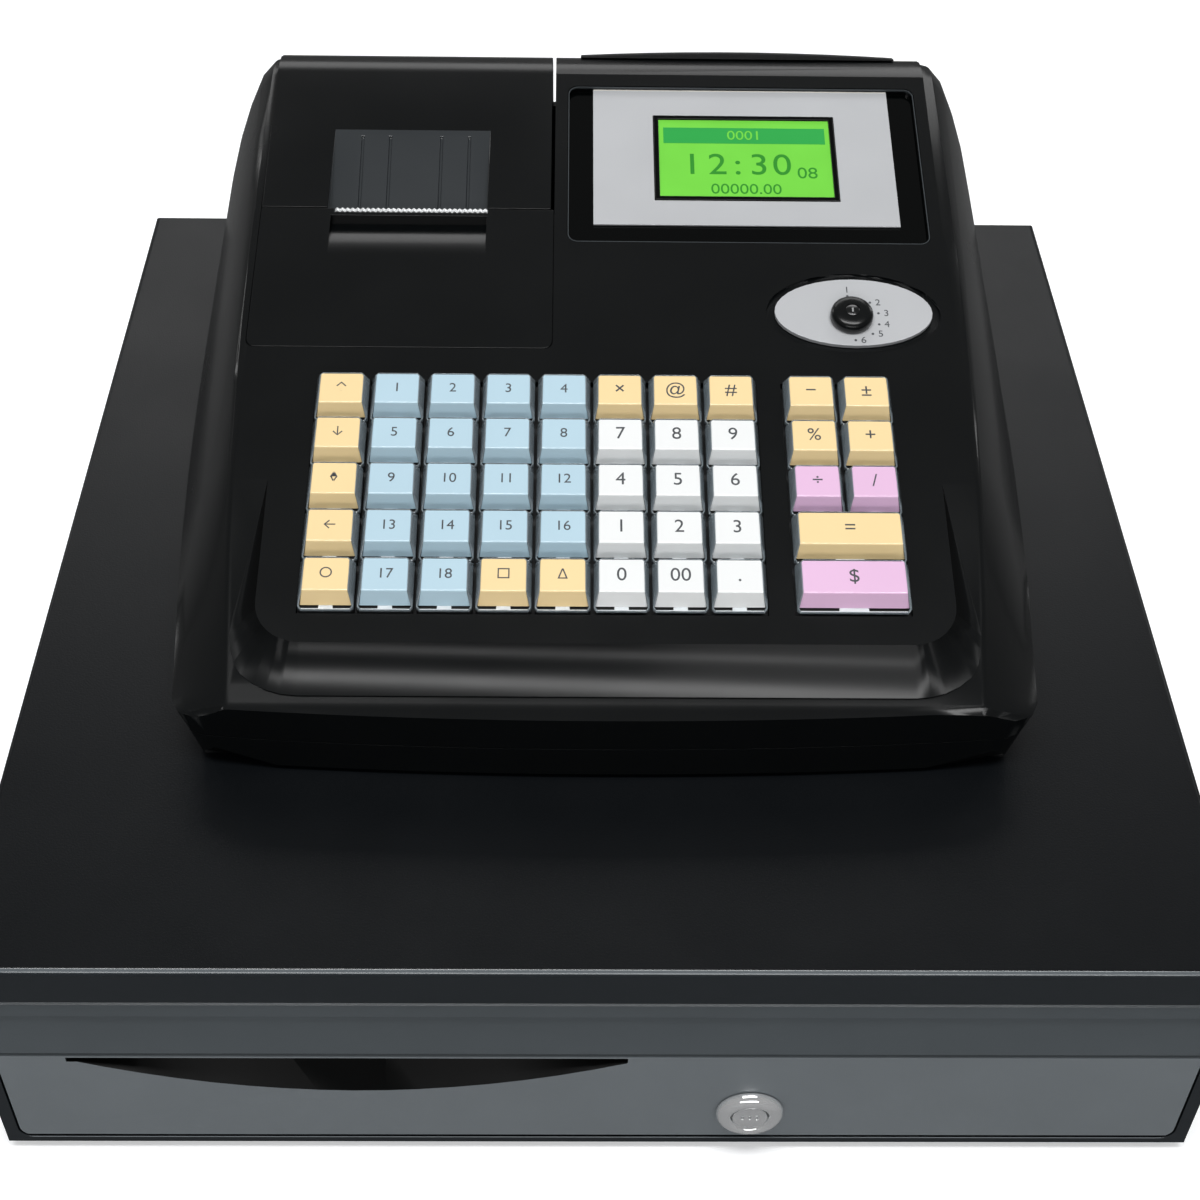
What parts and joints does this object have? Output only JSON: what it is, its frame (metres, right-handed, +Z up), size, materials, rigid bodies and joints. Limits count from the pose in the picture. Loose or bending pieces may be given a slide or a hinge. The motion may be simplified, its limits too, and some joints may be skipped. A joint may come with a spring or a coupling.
{
  "type": "ticket register",
  "caption": "Cash register with a sloping key panel, screen and roll printer, standing on a lockable cash drawer with a ticket slot and a removable till insert",
  "frame": {"origin": "the middle of the footprint, on the counter under the drawer's feet", "axes": "+X is the user's right as they face the keys, +Y runs from the drawer front to the back, +Z is up"},
  "size_m": [0.41, 0.426, 0.2128],
  "materials": {
    "cabinet_steel": "satin black powder coat",
    "front_plastic": "satin charcoal moulding",
    "case_plastic": "satin black moulding",
    "dark_plastic": "fine grained black moulding",
    "zinc_steel": "zinc plated",
    "bright_steel": "polished",
    "chrome": "mirror chrome",
    "nylon": "natural nylon",
    "rubber": "matt black rubber",
    "silver_plate": "satin silver",
    "gloss_black": "piano black",
    "screen": "lit green screen in a black border",
    "paper": "white thermal paper",
    "board": "green solder mask",
    "key_white": "clear cap over a white insert",
    "key_yellow": "clear cap over a yellow insert",
    "key_pink": "clear cap over a pink insert",
    "key_blue": "clear caps over blue and yellow inserts"
  },
  "bodies": {
    "register": {"drawer_cabinet": "cabinet_steel", "cabinet_base": "cabinet_steel", "latch_solenoid": "zinc_steel", "register_base": "case_plastic", "register_top": "case_plastic", "roll_cover_pin": "zinc_steel", "printer_frame": "dark_plastic", "print_head": "zinc_steel", "display_cap": "case_plastic", "main_board": "board", "printer_cover": "case_plastic", "tear_bar": "bright_steel", "display_window": "gloss_black", "display_plate": "silver_plate", "display_panel": "screen", "mode_plate": "silver_plate", "key_bank_left": "key_blue", "key_guide_right": "dark_plastic"},
    "drawer": {"drawer_pan": "zinc_steel", "drawer_front": "front_plastic", "till_insert": "dark_plastic", "clip_rod": "bright_steel", "lock_body": "chrome"},
    "lock_barrel_body": {"lock_barrel": "chrome"},
    "latch_lever_body": {"latch_lever": "zinc_steel"},
    "cabinet_roller_left_body": {"cabinet_roller_left": "nylon"},
    "cabinet_roller_right_body": {"cabinet_roller_right": "nylon"},
    "drawer_roller_left_body": {"drawer_roller_left": "nylon"},
    "drawer_roller_right_body": {"drawer_roller_right": "nylon"},
    "note_clip_1_body": {"note_clip_1": "dark_plastic"},
    "note_clip_2_body": {"note_clip_2": "dark_plastic"},
    "note_clip_3_body": {"note_clip_3": "dark_plastic"},
    "note_clip_4_body": {"note_clip_4": "dark_plastic"},
    "roll_cover_body": {"roll_cover": "case_plastic"},
    "paper_roll_body": {"paper_roll": "paper"},
    "platen_roller_body": {"platen_roller": "rubber"},
    "mode_switch_body": {"mode_switch": "gloss_black"},
    "key_c6_r1_body": {"key_c6_r1": "key_yellow"},
    "key_c6_r2_body": {"key_c6_r2": "key_white"},
    "key_c6_r3_body": {"key_c6_r3": "key_white"},
    "key_c6_r4_body": {"key_c6_r4": "key_white"},
    "key_c6_r5_body": {"key_c6_r5": "key_white"},
    "key_c7_r1_body": {"key_c7_r1": "key_yellow"},
    "key_c7_r2_body": {"key_c7_r2": "key_white"},
    "key_c7_r3_body": {"key_c7_r3": "key_white"},
    "key_c7_r4_body": {"key_c7_r4": "key_white"},
    "key_c7_r5_body": {"key_c7_r5": "key_white"},
    "key_c8_r1_body": {"key_c8_r1": "key_yellow"},
    "key_c8_r2_body": {"key_c8_r2": "key_white"},
    "key_c8_r3_body": {"key_c8_r3": "key_white"},
    "key_c8_r4_body": {"key_c8_r4": "key_white"},
    "key_c8_r5_body": {"key_c8_r5": "key_white"},
    "key_c9_r1_body": {"key_c9_r1": "key_yellow"},
    "key_c10_r1_body": {"key_c10_r1": "key_yellow"},
    "key_c9_r2_body": {"key_c9_r2": "key_yellow"},
    "key_c10_r2_body": {"key_c10_r2": "key_yellow"},
    "key_c9_r3_body": {"key_c9_r3": "key_pink"},
    "key_c10_r3_body": {"key_c10_r3": "key_pink"},
    "key_wide_r4_body": {"key_wide_r4": "key_yellow"},
    "key_wide_r5_body": {"key_wide_r5": "key_pink"}
  },
  "joints": [
    {"name": "drawer_slide", "type": "slide", "parent": "register", "child": "drawer", "axis": [0, -1, 0], "range_m": [0, 0.29]},
    {"name": "roll_cover_hinge", "type": "hinge", "parent": "register", "child": "roll_cover_body", "pos_m": [-0.076, 0.181, 0.159], "axis": [-1, 0, 0], "range_deg": [0, 80]},
    {"name": "lock_turn", "type": "hinge", "parent": "drawer", "child": "lock_barrel_body", "pos_m": [0.051, -0.209, 0.025], "axis": [0, 1, 0], "range_deg": [0, 90]},
    {"name": "latch_rock", "type": "hinge", "parent": "register", "child": "latch_lever_body", "pos_m": [-0.031, 0.195, 0.044], "axis": [1, 0, 0], "range_deg": [0, 12], "stiffness_Nm_per_rad": 0.05, "springref_deg": -5.73},
    {"name": "mode_turn", "type": "hinge", "parent": "register", "child": "mode_switch_body", "pos_m": [0.0938, 0.03381, 0.18028], "axis": [0, 0.2419, -0.9703], "range_deg": [0, 180]},
    {"name": "note_clip_1_lift", "type": "hinge", "parent": "drawer", "child": "note_clip_1_body", "pos_m": [-0.13673, 0.1558, 0.064], "axis": [-1, 0, 0], "range_deg": [0, 65], "stiffness_Nm_per_rad": 0.05, "springref_deg": -17.19},
    {"name": "note_clip_2_lift", "type": "hinge", "parent": "drawer", "child": "note_clip_2_body", "pos_m": [-0.04557, 0.1558, 0.064], "axis": [-1, 0, 0], "range_deg": [0, 65], "stiffness_Nm_per_rad": 0.05, "springref_deg": -17.19},
    {"name": "note_clip_3_lift", "type": "hinge", "parent": "drawer", "child": "note_clip_3_body", "pos_m": [0.04557, 0.1558, 0.064], "axis": [-1, 0, 0], "range_deg": [0, 65], "stiffness_Nm_per_rad": 0.05, "springref_deg": -17.19},
    {"name": "note_clip_4_lift", "type": "hinge", "parent": "drawer", "child": "note_clip_4_body", "pos_m": [0.13673, 0.1558, 0.064], "axis": [-1, 0, 0], "range_deg": [0, 65], "stiffness_Nm_per_rad": 0.05, "springref_deg": -17.19},
    {"name": "platen_spin", "type": "hinge", "parent": "register", "child": "platen_roller_body", "pos_m": [-0.07385, 0.096, 0.172], "axis": [1, 0, 0], "continuous": true},
    {"name": "paper_roll_spin", "type": "hinge", "parent": "register", "child": "paper_roll_body", "pos_m": [-0.07385, 0.137, 0.16], "axis": [1, 0, 0], "continuous": true},
    {"name": "cabinet_roller_left_spin", "type": "hinge", "parent": "register", "child": "cabinet_roller_left_body", "pos_m": [-0.1905, -0.181, 0.0464], "axis": [1, 0, 0], "range_deg": [0, 3030]},
    {"name": "cabinet_roller_right_spin", "type": "hinge", "parent": "register", "child": "cabinet_roller_right_body", "pos_m": [0.1905, -0.181, 0.0464], "axis": [1, 0, 0], "range_deg": [0, 3030]},
    {"name": "drawer_roller_left_spin", "type": "hinge", "parent": "drawer", "child": "drawer_roller_left_body", "pos_m": [-0.1905, 0.156, 0.039], "axis": [1, 0, 0], "range_deg": [0, 3030]},
    {"name": "drawer_roller_right_spin", "type": "hinge", "parent": "drawer", "child": "drawer_roller_right_body", "pos_m": [0.1905, 0.156, 0.039], "axis": [1, 0, 0], "range_deg": [0, 3030]},
    {"name": "key_c6_r1_press", "type": "slide", "parent": "register", "child": "key_c6_r1_body", "axis": [0, 0.2419, -0.9703], "range_m": [0, 0.003], "stiffness_N_per_m": 200, "springref_m": -0.002},
    {"name": "key_c6_r2_press", "type": "slide", "parent": "register", "child": "key_c6_r2_body", "axis": [0, 0.2419, -0.9703], "range_m": [0, 0.003], "stiffness_N_per_m": 200, "springref_m": -0.002},
    {"name": "key_c6_r3_press", "type": "slide", "parent": "register", "child": "key_c6_r3_body", "axis": [0, 0.2419, -0.9703], "range_m": [0, 0.003], "stiffness_N_per_m": 200, "springref_m": -0.002},
    {"name": "key_c6_r4_press", "type": "slide", "parent": "register", "child": "key_c6_r4_body", "axis": [0, 0.2419, -0.9703], "range_m": [0, 0.003], "stiffness_N_per_m": 200, "springref_m": -0.002},
    {"name": "key_c6_r5_press", "type": "slide", "parent": "register", "child": "key_c6_r5_body", "axis": [0, 0.2419, -0.9703], "range_m": [0, 0.003], "stiffness_N_per_m": 200, "springref_m": -0.002},
    {"name": "key_c7_r1_press", "type": "slide", "parent": "register", "child": "key_c7_r1_body", "axis": [0, 0.2419, -0.9703], "range_m": [0, 0.003], "stiffness_N_per_m": 200, "springref_m": -0.002},
    {"name": "key_c7_r2_press", "type": "slide", "parent": "register", "child": "key_c7_r2_body", "axis": [0, 0.2419, -0.9703], "range_m": [0, 0.003], "stiffness_N_per_m": 200, "springref_m": -0.002},
    {"name": "key_c7_r3_press", "type": "slide", "parent": "register", "child": "key_c7_r3_body", "axis": [0, 0.2419, -0.9703], "range_m": [0, 0.003], "stiffness_N_per_m": 200, "springref_m": -0.002},
    {"name": "key_c7_r4_press", "type": "slide", "parent": "register", "child": "key_c7_r4_body", "axis": [0, 0.2419, -0.9703], "range_m": [0, 0.003], "stiffness_N_per_m": 200, "springref_m": -0.002},
    {"name": "key_c7_r5_press", "type": "slide", "parent": "register", "child": "key_c7_r5_body", "axis": [0, 0.2419, -0.9703], "range_m": [0, 0.003], "stiffness_N_per_m": 200, "springref_m": -0.002},
    {"name": "key_c8_r1_press", "type": "slide", "parent": "register", "child": "key_c8_r1_body", "axis": [0, 0.2419, -0.9703], "range_m": [0, 0.003], "stiffness_N_per_m": 200, "springref_m": -0.002},
    {"name": "key_c8_r2_press", "type": "slide", "parent": "register", "child": "key_c8_r2_body", "axis": [0, 0.2419, -0.9703], "range_m": [0, 0.003], "stiffness_N_per_m": 200, "springref_m": -0.002},
    {"name": "key_c8_r3_press", "type": "slide", "parent": "register", "child": "key_c8_r3_body", "axis": [0, 0.2419, -0.9703], "range_m": [0, 0.003], "stiffness_N_per_m": 200, "springref_m": -0.002},
    {"name": "key_c8_r4_press", "type": "slide", "parent": "register", "child": "key_c8_r4_body", "axis": [0, 0.2419, -0.9703], "range_m": [0, 0.003], "stiffness_N_per_m": 200, "springref_m": -0.002},
    {"name": "key_c8_r5_press", "type": "slide", "parent": "register", "child": "key_c8_r5_body", "axis": [0, 0.2419, -0.9703], "range_m": [0, 0.003], "stiffness_N_per_m": 200, "springref_m": -0.002},
    {"name": "key_c9_r1_press", "type": "slide", "parent": "register", "child": "key_c9_r1_body", "axis": [0, 0.2419, -0.9703], "range_m": [0, 0.003], "stiffness_N_per_m": 200, "springref_m": -0.002},
    {"name": "key_c10_r1_press", "type": "slide", "parent": "register", "child": "key_c10_r1_body", "axis": [0, 0.2419, -0.9703], "range_m": [0, 0.003], "stiffness_N_per_m": 200, "springref_m": -0.002},
    {"name": "key_c9_r2_press", "type": "slide", "parent": "register", "child": "key_c9_r2_body", "axis": [0, 0.2419, -0.9703], "range_m": [0, 0.003], "stiffness_N_per_m": 200, "springref_m": -0.002},
    {"name": "key_c10_r2_press", "type": "slide", "parent": "register", "child": "key_c10_r2_body", "axis": [0, 0.2419, -0.9703], "range_m": [0, 0.003], "stiffness_N_per_m": 200, "springref_m": -0.002},
    {"name": "key_c9_r3_press", "type": "slide", "parent": "register", "child": "key_c9_r3_body", "axis": [0, 0.2419, -0.9703], "range_m": [0, 0.003], "stiffness_N_per_m": 200, "springref_m": -0.002},
    {"name": "key_c10_r3_press", "type": "slide", "parent": "register", "child": "key_c10_r3_body", "axis": [0, 0.2419, -0.9703], "range_m": [0, 0.003], "stiffness_N_per_m": 200, "springref_m": -0.002},
    {"name": "key_wide_r4_press", "type": "slide", "parent": "register", "child": "key_wide_r4_body", "axis": [0, 0.2419, -0.9703], "range_m": [0, 0.003], "stiffness_N_per_m": 200, "springref_m": -0.002},
    {"name": "key_wide_r5_press", "type": "slide", "parent": "register", "child": "key_wide_r5_body", "axis": [0, 0.2419, -0.9703], "range_m": [0, 0.003], "stiffness_N_per_m": 200, "springref_m": -0.002}
  ],
  "couplings": [
    {"joint": "cabinet_roller_left_spin", "follows": "drawer_slide", "rad_per_m": 181.82},
    {"joint": "cabinet_roller_right_spin", "follows": "drawer_slide", "rad_per_m": 181.82},
    {"joint": "drawer_roller_left_spin", "follows": "drawer_slide", "rad_per_m": 181.82},
    {"joint": "drawer_roller_right_spin", "follows": "drawer_slide", "rad_per_m": 181.82},
    {"joint": "paper_roll_spin", "follows": "platen_spin", "ratio": -0.21875}
  ]
}
